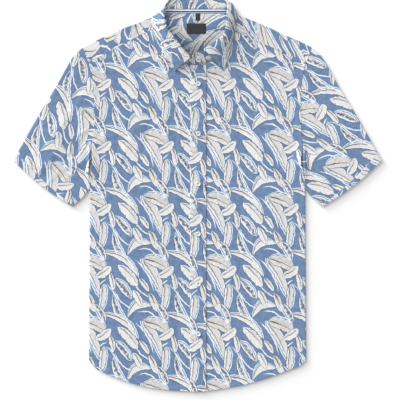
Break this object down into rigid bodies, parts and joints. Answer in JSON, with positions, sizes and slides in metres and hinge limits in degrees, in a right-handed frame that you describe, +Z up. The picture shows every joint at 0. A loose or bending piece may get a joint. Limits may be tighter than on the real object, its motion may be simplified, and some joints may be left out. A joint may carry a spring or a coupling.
{
  "type": "button-up shirt",
  "caption": "Short-sleeved button-up shirt laid flat, with a turned-down collar, a buttoned placket, a shoulder yoke and a curved shirt-tail hem.",
  "frame": {"origin": "centre of the bounding box in plan, on the surface that the shirt lies on", "axes": "+X towards the wearer's left, +Y from the hem to the collar, +Z up from the surface"},
  "size_m": [0.7934, 0.8502, 0.0192],
  "materials": {
    "printed_cotton": "matt printed cotton, pale leaves on mid blue",
    "print_inside": "matt printed cotton of the yoke, whose inner face shows in the neck",
    "tape": "woven contrast tape",
    "label": "woven black satin label, left bare",
    "button": "pearly off-white shirt button"
  },
  "bodies": {
    "root": {"back": "printed_cotton", "yoke": "print_inside", "front_right": "printed_cotton", "front_left": "printed_cotton", "placket": "printed_cotton", "sleeve_right": "printed_cotton", "sleeve_left": "printed_cotton", "collar_stand": "printed_cotton", "collar_leaf": "printed_cotton", "neck_tape": "tape", "label_main": "label", "label_size": "label", "button_collar": "button", "button_1": "button", "button_2": "button", "button_3": "button", "button_4": "button", "button_5": "button", "button_6": "button"}
  },
  "joints": []
}
